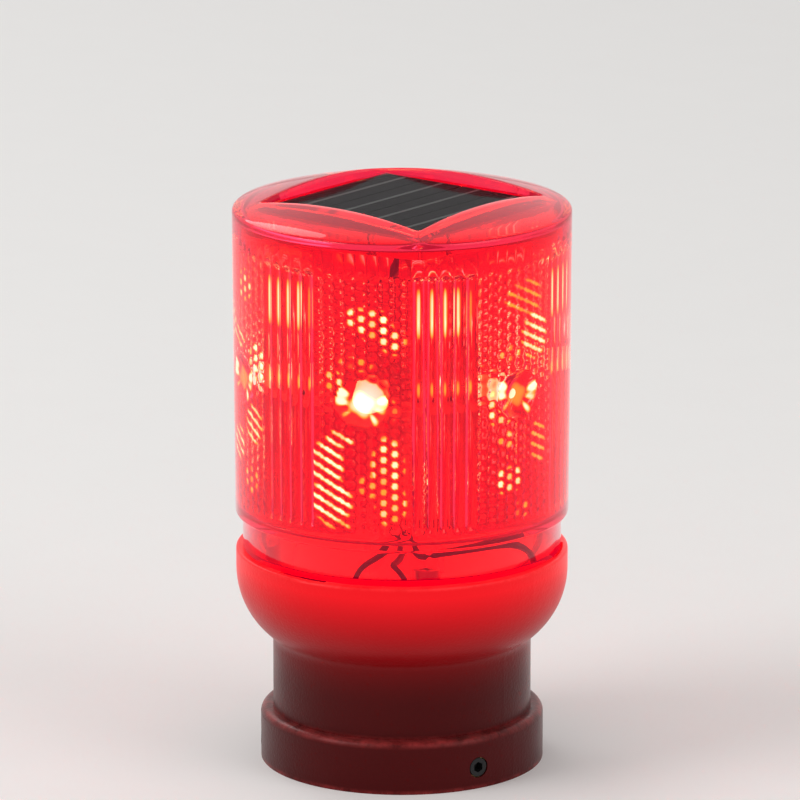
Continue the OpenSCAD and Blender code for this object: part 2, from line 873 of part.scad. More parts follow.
module solar_cover() {
    color("lightblue", 0.4) difference() {
        slab(tile_side, tile_side, cell_z0, tile_top);
        cell_strips(cell_pitch - cell_gap, cell_z0 - over, cell_z0 + cell_t);
        cell_strips(busbar_w, cell_z0, cell_z0 + cell_t + busbar_t);
    }
}

module tile_adhesive() {
    color("gray") difference() {
        slab(tile_side, tile_side, pocket_z, tile_z);
        cyl(lead_hole_r, pocket_z - over, tile_z + over);
    }
}

base_housing();
screw_inserts();
pole_screw(0);  // pole_screw_1
pole_screw(1);  // pole_screw_2
pole_screw(2);  // pole_screw_3
chassis();
chassis_screws();
led_board();
led_board_screws();
led(0);  // led_1
led(1);  // led_2
led(2);  // led_3
led(3);  // led_4
led(4);  // led_5
led(5);  // led_6
led_leads();
led_resistors();
panel_header();
panel_plug();
driver_board();
driver_screws();
driver_chip();
boost_inductor();
buffer_capacitor();
switch_body();
switch_button();
battery_tray();
battery_can();
battery_cap();
battery_sleeve();
positive_contact();
negative_contact();
contact_spring();
battery_lead_red();
battery_lead_black();
mast_lead(low_a, high_a, lead_tops[0]);  // mast_lead_a
mast_lead(low_b, high_b, lead_tops[1]);  // mast_lead_b
mast_lead(low_c, high_c, lead_tops[2]);  // mast_lead_c
panel_lead_red();
panel_lead_black();
lens();
o_ring();
solar_substrate();
solar_cells();
solar_busbars();
solar_cover();
tile_adhesive();
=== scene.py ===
"""Solar warning flare: a red lens with six lights, twist-locked to a cup-shaped base."""

import math

import bmesh
import bpy
from bpy.props import FloatProperty, FloatVectorProperty, PointerProperty
from mathutils import Matrix, Vector


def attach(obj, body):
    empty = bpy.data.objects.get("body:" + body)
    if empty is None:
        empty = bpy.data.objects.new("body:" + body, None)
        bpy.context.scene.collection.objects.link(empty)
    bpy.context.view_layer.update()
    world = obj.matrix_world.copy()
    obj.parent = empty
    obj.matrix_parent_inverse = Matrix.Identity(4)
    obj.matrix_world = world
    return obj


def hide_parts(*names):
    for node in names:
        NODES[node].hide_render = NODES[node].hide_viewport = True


bl_info = {
    "name": "Warning flare",
    "version": (1, 0, 0),
    "blender": (4, 5, 0),
    "location": "View3D > Sidebar > Flare",
    "description": "Builds the visible pieces of a solar warning flare round its frame",
    "category": "Object",
}

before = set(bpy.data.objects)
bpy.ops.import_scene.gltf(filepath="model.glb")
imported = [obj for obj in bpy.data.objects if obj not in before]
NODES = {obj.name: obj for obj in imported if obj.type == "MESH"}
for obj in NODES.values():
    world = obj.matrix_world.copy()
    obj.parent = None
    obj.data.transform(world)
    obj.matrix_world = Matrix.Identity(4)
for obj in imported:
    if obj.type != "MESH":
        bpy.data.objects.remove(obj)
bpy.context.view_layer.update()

MM = 0.001

# ---------- sizes taken over from the frame, in millimetres ----------
LENS_FOOT = 53.0        # underside of the lens wall
LENS_RIM = 117.5        # edge between the wall and the dome
LENS_R = 35.0
LENS_LOW_R = 34.6
WALL = 2.4
LEDGE_Z = 54.44         # top of the step inside, between the wall and the band
DOME_R = 125.0
DOME_Z = -2.5
BAND_R = 33.1
SPIGOT_R = 31.75
SPIGOT_IN_R = 29.35
SPIGOT_Z = 37.5
CUP_Z = 45.5
GROOVE_R = 29.85        # bottom of the O-ring's groove
GROOVE_LOW = 38.5
GROOVE_HIGH = 40.9
LUG_LOW = 42.2
LUG_HIGH = 44.0
LUG_REACH = 1.3
LUG_HALF_DEG = 9.0
LUG_PITCH_DEG = 120.0
POCKET_HALF = 20.7
POCKET_Z = 115.62
BLOCK_HALF = 22.7
BLOCK_Z = 113.42
LEAD_HOLE_R = 2.0
LIGHT_Z = 83.5
LIGHT_TIP = 30.0
LIGHT_R = 2.5
LIGHT_L = 8.6
COLLAR_R = 2.9
COLLAR_T = 1.0
PANEL_COUNT = 6
PANEL_TURN = -6.0
PANEL_DEG = 60.0        # from the middle of one optic panel to the next
BANK_DEG = 24.0         # bank of upright ribs between two panels
RIB_COUNT = 5
TILE_HALF = 20.5
TILE_TOP = 118.52
CELL_Z = 117.62
CELL_COUNT = 4
CELL_T = 0.25
CELL_PITCH = 9.75
CELL_W = 9.25
CELL_L = 39.0


# ---------- sizes and colours a user may change ----------
class FlareLens(bpy.types.PropertyGroup):
    """The lens and its optics."""
    pillow: FloatProperty(
        name="Pillow depth", description="How far a pillow stands out of the wall",
        default=0.5 * MM, min=0.0, max=1.0 * MM, unit="LENGTH")
    pillow_pitch: FloatProperty(
        name="Pillow pitch", description="Height of one pillow",
        default=2.25 * MM, min=1.5 * MM, max=4.0 * MM, unit="LENGTH")
    rib_r: FloatProperty(
        name="Rib radius", description="Radius of one upright rib",
        default=1.2 * MM, min=0.8 * MM, max=1.4 * MM, unit="LENGTH")
    colour: FloatVectorProperty(
        name="Lens colour", description="Colour of the clear red plastic",
        subtype="COLOR", size=3, min=0.0, max=1.0, default=(0.9, 0.03, 0.075))


class FlareHousing(bpy.types.PropertyGroup):
    """The base."""
    colour: FloatVectorProperty(
        name="Base colour", description="Colour of the moulded base",
        subtype="COLOR", size=3, min=0.0, max=1.0, default=(0.055, 0.001, 0.0015))
    # painted glow: emission on the base near the cup's rim and on the chassis, fading with height
    glow: FloatVectorProperty(
        name="Glow", description="Light that comes through the cup's wall",
        subtype="COLOR", size=3, min=0.0, max=1.0, default=(0.85, 0.004, 0.01))


class FlareLights(bpy.types.PropertyGroup):
    """The six lights."""
    colour: FloatVectorProperty(
        name="Light colour", description="Colour that a lit light gives",
        subtype="COLOR", size=3, min=0.0, max=1.0, default=(1.0, 0.95, 0.3))
    strength: FloatProperty(
        name="Light strength", description="How strongly the lights shine",
        default=45.0, min=0.0, max=400.0)


class FlareTile(bpy.types.PropertyGroup):
    """The solar tile."""
    cell_colour: FloatVectorProperty(
        name="Cell colour", description="Colour of the silicon cells",
        subtype="COLOR", size=3, min=0.0, max=1.0, default=(0.014, 0.011, 0.013))
    fingers: FloatProperty(
        name="Finger pitch", description="Distance between two fine silver lines",
        default=1.5 * MM, min=0.5 * MM, max=4.0 * MM, unit="LENGTH")


class FlareStage(bpy.types.PropertyGroup):
    """Floor, lamps and camera."""
    floor: FloatVectorProperty(
        name="Floor colour", description="Colour of the plain floor",
        subtype="COLOR", size=3, min=0.0, max=1.0, default=(0.86, 0.85, 0.84))
    azimuth: FloatProperty(
        name="Azimuth", description="Camera's turn round the flare",
        default=math.radians(38.5), subtype="ANGLE")
    distance: FloatProperty(
        name="Distance", description="Camera's distance over the floor",
        default=1.4, min=0.3, max=5.0, unit="LENGTH")
    height: FloatProperty(
        name="Height", description="Camera's height over the floor",
        default=0.438, min=0.0, max=3.0, unit="LENGTH")


# ---------- helpers for meshes ----------
def settle_order(bm):
    """Puts the faces in the order of their vertices, so that every run gives the same mesh."""
    bm.verts.index_update()
    count = len(bm.verts)

    def rank(face):
        low, middle, high = sorted(vert.index for vert in face.verts)[:3]
        return (low * count + middle) * count + high

    bm.faces.sort(key=rank)


def as_object(bm, name, material, smooth=True):
    """Turns a bmesh into a finished object at the origin."""
    settle_order(bm)
    mesh = bpy.data.meshes.new(name)
    bm.to_mesh(mesh)
    bm.free()
    if smooth:
        mesh.shade_smooth()
    obj = bpy.data.objects.new(name, mesh)
    bpy.context.scene.collection.objects.link(obj)
    mesh.materials.append(material)
    return obj


def spun(points, steps):
    """An open profile of (radius, height) points in metres, spun round the upright axis."""
    bm = bmesh.new()
    made = [bm.verts.new((r, 0.0, z)) for r, z in points]
    edges = [bm.edges.new(pair) for pair in zip(made, made[1:])]
    bmesh.ops.spin(
        bm, geom=made + edges, cent=(0, 0, 0), axis=(0, 0, 1), dvec=(0, 0, 0),
        angle=math.tau, steps=steps, use_merge=True, use_duplicate=False)
    return bm


def spun_in_sectors(points, steps, sectors):
    """A closed profile spun through one sector, which is then repeated round the axis.
    The layer "row" tells which point of the profile a vertex came from."""
    bm = bmesh.new()
    row = bm.verts.layers.int.new("row")
    made = []
    for i, (r, z) in enumerate(points):
        vert = bm.verts.new((r, 0.0, z))
        vert[row] = i
        made.append(vert)
    edges = [bm.edges.new(pair) for pair in zip(made, made[1:] + made[:1])]
    bmesh.ops.spin(
        bm, geom=made + edges, cent=(0, 0, 0), axis=(0, 0, 1), dvec=(0, 0, 0),
        angle=math.tau / sectors, steps=steps // sectors, use_merge=False, use_duplicate=False)
    bmesh.ops.delete(bm, geom=[e for e in edges if not e.link_faces], context="EDGES")
    first = bm.verts[:] + bm.edges[:] + bm.faces[:]
    for k in range(1, sectors):
        copy = bmesh.ops.duplicate(bm, geom=first)["geom"]
        bmesh.ops.rotate(
            bm, cent=(0, 0, 0), matrix=Matrix.Rotation(math.tau * k / sectors, 3, "Z"),
            verts=[g for g in copy if isinstance(g, bmesh.types.BMVert)])
    bmesh.ops.remove_doubles(bm, verts=bm.verts, dist=2e-6)
    return bm


def face_outwards(bm):
    """Turns every face of a closed shell outwards."""
    bmesh.ops.recalc_face_normals(bm, faces=bm.faces)
    if bm.calc_volume(signed=True) < 0:
        bmesh.ops.reverse_faces(bm, faces=bm.faces)


def close_poles(bm):
    """Merges what lies on the axis and turns every face outwards."""
    bmesh.ops.remove_doubles(bm, verts=bm.verts, dist=1e-6)
    face_outwards(bm)


def stand_in(obj, body, slot, *nodes):
    """Puts a finished piece in its frame nodes' place."""
    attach(obj, body)
    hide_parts(*nodes)
    return obj


# ---------- helpers for finishes ----------
def new_group(name, takes, gives):
    """A node group with its named inputs and outputs."""
    tree = bpy.data.node_groups.new(name, "ShaderNodeTree")
    for label, kind, value in takes:
        socket = tree.interface.new_socket(label, in_out="INPUT", socket_type=kind)
        socket.default_value = value
    for label, kind in gives:
        tree.interface.new_socket(label, in_out="OUTPUT", socket_type=kind)
    return tree, tree.nodes.new("NodeGroupInput"), tree.nodes.new("NodeGroupOutput")


def maths(tree, what, a, b=None, clamp=False, c=None):
    """One arithmetic node, fed with sockets or numbers."""
    node = tree.nodes.new("ShaderNodeMath")
    node.operation = what
    node.use_clamp = clamp
    for slot, value in zip(node.inputs, (a, b, c)):
        if value is None:
            continue
        if isinstance(value, (int, float)):
            slot.default_value = value
        else:
            tree.links.new(value, slot)
    return node.outputs[0]


def blend_colour(tree, share, first, second, how="MIX"):
    """One colour mix, fed with sockets or colours."""
    node = tree.nodes.new("ShaderNodeMix")
    node.data_type = "RGBA"
    node.blend_type = how
    for slot, value in ((node.inputs[0], share), (node.inputs[6], first), (node.inputs[7], second)):
        if isinstance(value, bpy.types.NodeSocket):
            tree.links.new(value, slot)
        elif isinstance(value, (int, float)):
            slot.default_value = value
        else:
            slot.default_value = (*value, 1.0)
    return node.outputs[2]


def noise(tree, where, scale, detail=3.0, rough=0.55):
    """A noise pattern on the object's own coordinates."""
    node = tree.nodes.new("ShaderNodeTexNoise")
    node.inputs["Scale"].default_value = scale
    node.inputs["Detail"].default_value = detail
    node.inputs["Roughness"].default_value = rough
    tree.links.new(where, node.inputs["Vector"])
    return node.outputs["Fac"]


def spread(tree, value, low, high, out_low=0.0, out_high=1.0):
    """Maps low..high to out_low..out_high and stops there."""
    node = tree.nodes.new("ShaderNodeMapRange")
    tree.links.new(value, node.inputs["Value"])
    node.inputs["From Min"].default_value = low
    node.inputs["From Max"].default_value = high
    node.inputs["To Min"].default_value = out_low
    node.inputs["To Max"].default_value = out_high
    return node.outputs["Result"]


def coords(tree):
    """The object's own coordinates."""
    return tree.nodes.new("ShaderNodeTexCoord").outputs["Object"]


def upright(tree):
    """Height above the floor, from the object's own coordinates."""
    split = tree.nodes.new("ShaderNodeSeparateXYZ")
    tree.links.new(coords(tree), split.inputs[0])
    return split.outputs["Z"]


def grain_group():
    """Uneven gloss and a fine skin, as on any moulded or rolled surface."""
    tree, take, give = new_group(
        "Surface grain",
        [("Scale", "NodeSocketFloat", 900.0), ("Roughness", "NodeSocketFloat", 0.3),
         ("Uneven", "NodeSocketFloat", 0.1)],
        [("Roughness", "NodeSocketFloat"), ("Height", "NodeSocketFloat"),
         ("Blotch", "NodeSocketFloat")])
    where = coords(tree)
    fine = tree.nodes.new("ShaderNodeTexNoise")
    fine.inputs["Detail"].default_value = 2.0
    tree.links.new(where, fine.inputs["Vector"])
    tree.links.new(take.outputs["Scale"], fine.inputs["Scale"])
    broad = noise(tree, where, 55.0, 4.0)
    centred = maths(tree, "SUBTRACT", broad, 0.5)
    swing = maths(tree, "MULTIPLY", centred, take.outputs["Uneven"])
    doubled = maths(tree, "MULTIPLY", swing, 2.0)
    tree.links.new(maths(tree, "ADD", doubled, take.outputs["Roughness"], True),
                   give.inputs["Roughness"])
    tree.links.new(fine.outputs["Fac"], give.inputs["Height"])
    tree.links.new(broad, give.inputs["Blotch"])
    return tree


def dust_group():
    """Dust that settles where a surface looks up, thicker in patches."""
    tree, take, give = new_group(
        "Settled dust",
        [("Colour", "NodeSocketColor", (0.5, 0.5, 0.5, 1.0)),
         ("Dust", "NodeSocketColor", (0.45, 0.38, 0.32, 1.0)),
         ("Amount", "NodeSocketFloat", 0.2)],
        [("Colour", "NodeSocketColor"), ("Mask", "NodeSocketFloat")])
    facing = tree.nodes.new("ShaderNodeNewGeometry")
    split = tree.nodes.new("ShaderNodeSeparateXYZ")
    tree.links.new(facing.outputs["Normal"], split.inputs[0])
    up = spread(tree, split.outputs["Z"], 0.1, 0.9)
    patch = spread(tree, noise(tree, coords(tree), 140.0, 6.0, 0.65), 0.4, 0.75)
    mask = maths(tree, "MULTIPLY", up, patch)
    mask = maths(tree, "MULTIPLY", mask, take.outputs["Amount"], True)
    tree.links.new(blend_colour(tree, mask, take.outputs["Colour"], take.outputs["Dust"]),
                   give.inputs["Colour"])
    tree.links.new(mask, give.inputs["Mask"])
    return tree


def rub_group():
    """Lighter rubbed patches round one edge at a given height, also used as a painted highlight."""
    tree, take, give = new_group(
        "Rubbed edge",
        [("Colour", "NodeSocketColor", (0.5, 0.5, 0.5, 1.0)),
         ("Rubbed", "NodeSocketColor", (0.6, 0.5, 0.5, 1.0)),
         ("Height", "NodeSocketFloat", 0.01), ("Width", "NodeSocketFloat", 0.001),
         ("Amount", "NodeSocketFloat", 0.5)],
        [("Colour", "NodeSocketColor"), ("Mask", "NodeSocketFloat")])
    away = maths(tree, "ABSOLUTE", maths(tree, "SUBTRACT", upright(tree), take.outputs["Height"]))
    near = maths(tree, "SUBTRACT", 1.0, maths(tree, "DIVIDE", away, take.outputs["Width"]), True)
    patch = spread(tree, noise(tree, coords(tree), 260.0, 7.0, 0.7), 0.36, 0.62)
    mask = maths(tree, "MULTIPLY", near, patch)
    mask = maths(tree, "MULTIPLY", mask, take.outputs["Amount"], True)
    tree.links.new(blend_colour(tree, mask, take.outputs["Colour"], take.outputs["Rubbed"]),
                   give.inputs["Colour"])
    tree.links.new(mask, give.inputs["Mask"])
    return tree


def painted_glow_group():
    """Painted glow: emission that fades away from a height."""
    tree, take, give = new_group(
        "Fading glow",
        [("Colour", "NodeSocketColor", (1.0, 0.0, 0.0, 1.0)),
         ("Bright at", "NodeSocketFloat", 0.045), ("Dark at", "NodeSocketFloat", 0.02),
         ("Power", "NodeSocketFloat", 2.0)],
        [("Colour", "NodeSocketColor"), ("Mask", "NodeSocketFloat")])
    ramp = tree.nodes.new("ShaderNodeMapRange")
    tree.links.new(upright(tree), ramp.inputs["Value"])
    tree.links.new(take.outputs["Dark at"], ramp.inputs["From Min"])
    tree.links.new(take.outputs["Bright at"], ramp.inputs["From Max"])
    mask = maths(tree, "POWER", ramp.outputs["Result"], take.outputs["Power"])
    tree.links.new(blend_colour(tree, mask, (0.0, 0.0, 0.0), take.outputs["Colour"]),
                   give.inputs["Colour"])
    tree.links.new(mask, give.inputs["Mask"])
    return tree


GROUPS = {}


def shared(name):
    """The shared effect of that name, built once."""
    makers = {"grain": grain_group, "dust": dust_group, "glow": painted_glow_group, "rub": rub_group}
    if name not in GROUPS:
        GROUPS[name] = makers[name]()
    return GROUPS[name]


def place(tree, name, **values):
    """Puts a shared effect in a finish, with its own values."""
    node = tree.nodes.new("ShaderNodeGroup")
    node.node_tree = shared(name)
    for label, value in values.items():
        socket = node.inputs[label.replace("_", " ")]
        if isinstance(value, bpy.types.NodeSocket):
            tree.links.new(value, socket)
        elif isinstance(value, (int, float)):
            socket.default_value = value
        else:
            socket.default_value = (*value, 1.0)
    return node


def finish(name, colour, rough=0.4, uneven=0.08, grain=900.0, bump=0.00002, worn=0.0,
           variation=0.12, **plain):
    """A finish with uneven gloss, fine skin and slightly uneven colour."""
    material = bpy.data.materials.new(name)
    material.use_nodes = True
    tree = material.node_tree
    shader = tree.nodes["Principled BSDF"]
    for label, value in plain.items():
        shader.inputs[label.replace("_", " ")].default_value = value
    skin = place(tree, "grain", Scale=grain, Roughness=rough, Uneven=uneven)
    darker = tuple(c * (1.0 - variation) for c in colour)
    lighter = tuple(min(1.0, c * (1.0 + variation)) for c in colour)
    tone = blend_colour(tree, skin.outputs["Blotch"], darker, lighter)
    if worn:
        dusty = place(tree, "dust", Colour=tone, Amount=worn)
        tone = dusty.outputs["Colour"]
    tree.links.new(tone, shader.inputs["Base Color"])
    tree.links.new(skin.outputs["Roughness"], shader.inputs["Roughness"])
    if bump:
        relief = tree.nodes.new("ShaderNodeBump")
        relief.inputs["Distance"].default_value = bump
        relief.inputs["Strength"].default_value = 1.0
        tree.links.new(skin.outputs["Height"], relief.inputs["Height"])
        tree.links.new(relief.outputs["Normal"], shader.inputs["Normal"])
    return material


def paint_glow(material, colour, bright_at, dark_at, power):
    """Paints a glow on a finish round one height, fading away to another."""
    tree = material.node_tree
    glow = place(tree, "glow", Colour=colour, Bright_at=bright_at, Dark_at=dark_at, Power=power)
    tree.links.new(glow.outputs["Colour"], tree.nodes["Principled BSDF"].inputs["Emission Color"])


def ramp_of(tree, value, stops):
    """Turns a value into a colour that changes over the given (place, colour) stops."""
    node = tree.nodes.new("ShaderNodeValToRGB")
    tree.links.new(value, node.inputs["Fac"])
    marks = node.color_ramp.elements
    for mark, (place_at, colour) in zip(marks, (stops[0], stops[-1])):
        mark.position = place_at
        mark.color = (*colour, 1.0)
    for place_at, colour in stops[1:-1]:
        marks.new(place_at).color = (*colour, 1.0)
    return node.outputs["Color"]


def painted(tree, name):
    """A value that the mesh carries on its points."""
    node = tree.nodes.new("ShaderNodeAttribute")
    node.attribute_name = name
    return node.outputs["Fac"]


def lens_plastic(settings):
    """Clear red plastic with a faint painted glow, painted glints and painted shade in its valleys.
    """
    material = finish(
        "Clear red lens", settings.colour, rough=0.035, uneven=0.02, grain=300.0, bump=0.0,
        variation=0.02, Transmission_Weight=1.0, IOR=1.5, Specular_Tint=(1.0, 0.35, 0.36, 1.0),
        Emission_Strength=7.0)
    tree = material.node_tree
    shader = tree.nodes["Principled BSDF"]
    # painted shade: darker colour in the valleys between pillows and between ribs
    valley_shade = tuple(c * 0.3 for c in settings.colour)
    unshaded = spread(tree, painted(tree, "relief"), 0.0, 0.6)
    tone = blend_colour(tree, unshaded, valley_shade, settings.colour)
    tree.links.new(tone, shader.inputs["Base Color"])
    # painted glow all over, brighter where the glint attribute puts painted glints
    lit = ramp_of(tree, painted(tree, "glint"), (
        (0.0, (0.011, 0.0, 0.0012)), (0.25, (0.08, 0.006, 0.002)), (0.5, (0.3, 0.3, 0.01)),
        (1.0, (0.7, 1.0, 0.4))))
    tree.links.new(lit, shader.inputs["Emission Color"])
    return material


def pale_plastic(settings):
    """Pale plastic inside the lens, with a painted red glow that is brightest low down and fades
    upwards.
    """
    material = finish("Pale plastic", (0.8, 0.78, 0.75), 0.45, 0.1, 1500.0, 0.00002,
                      Emission_Strength=1.1)
    # painted red glow on the chassis
    paint_glow(material, settings.glow, bright_at=0.046, dark_at=0.066, power=1.5)
    return material


def light_resin(settings):
    """Lit resin, brightest at its tip."""
    material = finish("Lit resin", (0.9, 0.2, 0.06), rough=0.12, bump=0.0,
                      Emission_Strength=settings.strength)
    tree = material.node_tree
    lit = ramp_of(tree, painted(tree, "hotness"), (
        (0.0, (0.05, 0.004, 0.001)), (0.45, (0.3, 0.1, 0.008)), (0.75, (1.0, 0.6, 0.1)),
        (0.93, tuple(settings.colour))))
    tree.links.new(lit, tree.nodes["Principled BSDF"].inputs["Emission Color"])
    return material


FINGER_HALF = 0.00006   # half the width of one silver line, in metres
FINGER_GREY = (0.07, 0.07, 0.07)


def silicon(settings):
    """Dark cells with fine silver fingers across them."""
    material = finish("Silicon", settings.cell_colour, 0.3, 0.08, 500.0, 0.00001,
                      Specular_IOR_Level=0.0)
    tree = material.node_tree
    shader = tree.nodes["Principled BSDF"]
    base = shader.inputs["Base Color"].links[0].from_socket
    split = tree.nodes.new("ShaderNodeSeparateXYZ")
    tree.links.new(coords(tree), split.inputs[0])
    along = maths(tree, "PINGPONG", split.outputs["Y"], settings.fingers / 2)
    line = maths(tree, "LESS_THAN", along, FINGER_HALF)
    tree.links.new(blend_colour(tree, line, base, FINGER_GREY), shader.inputs["Base Color"])
    return material


# the base's rubbed edges, where the one at the ledge is also a painted highlight: height and width
# in metres, and how much is rubbed
RUBBED_EDGES_AND_LEDGE_HIGHLIGHT = ((0.0107, 0.0011, 0.75), (0.0003, 0.0007, 0.6), (0.0452, 0.0006, 0.5))
RUBBED_AND_HIGHLIGHT_TONE = (0.34, 0.035, 0.035)


def base_plastic(settings):
    """Deep red semi-gloss plastic with a painted glow near the cup's rim that fades downwards."""
    material = finish(
        "Deep red base", settings.colour, rough=0.33, uneven=0.16, grain=1700.0, bump=0.00006,
        worn=0.05, variation=0.15, Specular_IOR_Level=0.3,
        Specular_Tint=(1.0, 0.4, 0.4, 1.0), Emission_Strength=1.0)
    # painted glow near the cup's rim
    paint_glow(material, settings.glow, bright_at=0.043, dark_at=0.016, power=2.3)
    tree = material.node_tree
    shader = tree.nodes["Principled BSDF"]
    tone = shader.inputs["Base Color"].links[0].from_socket
    # lighter rubbed patches at the ledge, foot and cup rim; the ledge's also stands for a painted
    # highlight
    for height, width, amount in RUBBED_EDGES_AND_LEDGE_HIGHLIGHT:
        rub = place(tree, "rub", Colour=tone, Rubbed=RUBBED_AND_HIGHLIGHT_TONE, Height=height,
                    Width=width, Amount=amount)
        tone = rub.outputs["Colour"]
    tree.links.new(tone, shader.inputs["Base Color"])
    return material


# ---------- the lens ----------
def dome_height(r, inset=0.0):
    """Height of the dome, in millimetres, at a radius."""
    return DOME_Z + math.sqrt((DOME_R - inset) ** 2 - r * r)


def square_radius(angle, half, corner):
    """Radius, at an angle, of a square with rounded corners."""
    fold = abs((angle + math.pi / 4) % (math.pi / 2) - math.pi / 4)
    if half * math.tan(fold) <= half - corner:
        return half / math.cos(fold)
    reach = (half - corner) * math.sqrt(2)
    off = math.pi / 4 - fold
    return reach * math.cos(off) + math.sqrt(corner ** 2 - (reach * math.sin(off)) ** 2)


STEPS = 540             # steps round the lens
ROW_STEP = 0.45         # height of one row of the optics
OPTIC_ROWS = 121
OPTIC_LOW = 56.4        # the optics' lower and upper ends, and the length they fade out in
OPTIC_HIGH = 110.4
OPTIC_FADE = 1.2
PILLOW_DEG = 4.0        # width of one column of pillows
MM_PER_DEG = 0.57       # along the inner wall
# a lit spot is a painted glint
SPOT = 0.15             # square of a lit spot's radius, in pillows
BULL_R = 11.0           # radius of a bullseye's surface, and of its edge
BULL_EDGE = 5.7
BULL_SEAT = 9.4         # from the surface's middle to the wall
BULL_LIP = 0.15         # least rise that counts as the bullseye


def lens_rows():
    """The lens's section from the spigot up the outside, through the pocket and down the inside.
    Each row is (radius, height, shape, value); shape says how the row leaves the round."""
    rows = []

    def add(r, z, shape="round", value=0.0):
        rows.append((r, z, shape, value))

    def wall(z):
        return LENS_LOW_R + (LENS_R - LENS_LOW_R) * (z - LENS_FOOT) / (LENS_RIM - LENS_FOOT)

    # spigot with its groove and lugs
    add(SPIGOT_IN_R + 0.3, SPIGOT_Z)
    add(SPIGOT_R - 0.3, SPIGOT_Z)
    add(SPIGOT_R, SPIGOT_Z + 0.3)
    for r, z in ((SPIGOT_R, GROOVE_LOW), (GROOVE_R, GROOVE_LOW),
                 (GROOVE_R, GROOVE_HIGH), (SPIGOT_R, GROOVE_HIGH)):
        add(r, z)
    add(SPIGOT_R, LUG_LOW - 0.05)
    add(SPIGOT_R, LUG_LOW, "lug", LUG_REACH)
    add(SPIGOT_R, LUG_HIGH, "lug", LUG_REACH)
    add(SPIGOT_R, LUG_HIGH + 0.05)
    add(SPIGOT_R, CUP_Z + 0.05)
    # plain band and the step out to the wall
    add(BAND_R - 0.2, CUP_Z + 0.05)
    add(BAND_R, CUP_Z + 0.25)
    add(BAND_R, LENS_FOOT - 0.5)
    add(BAND_R + 0.35, LENS_FOOT)
    add(LENS_LOW_R - 0.6, LENS_FOOT)
    add(LENS_LOW_R - 0.15, LENS_FOOT + 0.18)
    add(LENS_LOW_R, LENS_FOOT + 0.6)
    for z in (75.0, 96.0, LENS_RIM - 0.8):
        add(wall(z), z)
    # rounded rim
    add(LENS_R - 0.1, LENS_RIM - 0.35)
    add(LENS_R - 0.35, LENS_RIM - 0.06)
    add(LENS_R - 0.9, dome_height(LENS_R - 0.9))
    # dome, from round to square
    for share in (0.2, 0.45, 0.7, 0.9):
        add(0, 0, "dome", share)
    add(0, -0.02, "pocket", 0.28)
    add(0, -0.12, "pocket", 0.1)
    add(0, -0.35, "pocket", 0.0)
    add(0, POCKET_Z, "square", POCKET_HALF)
    add(LEAD_HOLE_R, POCKET_Z)
    add(LEAD_HOLE_R, BLOCK_Z)
    add(0, BLOCK_Z, "square", BLOCK_HALF - 0.3)
    add(0, BLOCK_Z + 0.3, "square", BLOCK_HALF)
    add(0, 0, "under", 0.0)
    add(0, 0, "under", 0.5)
    shoulder = 115.3
    inner = wall(shoulder) - WALL
    add(inner - 0.3, dome_height(inner, WALL))
    add(inner, shoulder)
    # inner wall, where the optics are
    top = OPTIC_LOW + ROW_STEP * (OPTIC_ROWS - 1)
    for k in range(OPTIC_ROWS):
        z = top - k * ROW_STEP
        add(wall(z) - WALL, z, "optic", z)
    low = LENS_LOW_R - WALL
    add(low, 55.6)
    add(low - 0.15, 54.8)
    add(low - 0.7, LEDGE_Z)
    add(BAND_R - WALL + 0.3, LEDGE_Z)
    add(BAND_R - WALL, 54.1)
    add(BAND_R - WALL, 46.9)
    add(BAND_R - WALL - 0.3, 46.7)
    add(SPIGOT_IN_R + 0.1, 46.7)
    add(SPIGOT_IN_R, 46.5)
    add(SPIGOT_IN_R, SPIGOT_Z + 0.3)
    return rows


def pillow(across, up, pitch):
    """Height, from 0 to 1, of the pillow nearest to a place, the way to it and its own
    brightness for the painted glints; across is in columns."""
    nearest = Vector((9.0, 9.0))
    share = 1.0
    column = round(across)
    for c in (column - 1, column, column + 1):
        shift = 0.5 if c % 2 else 0.0
        row = round(up / pitch - shift) + shift
        away = Vector((across - c, up / pitch - row))
        if away.length < nearest.length:
            nearest = away
            share = 0.55 + 0.45 * abs(math.sin(12.9898 * c + 78.233 * row))
    return max(0.0, 1.0 - nearest.length_squared / 0.36), nearest, share


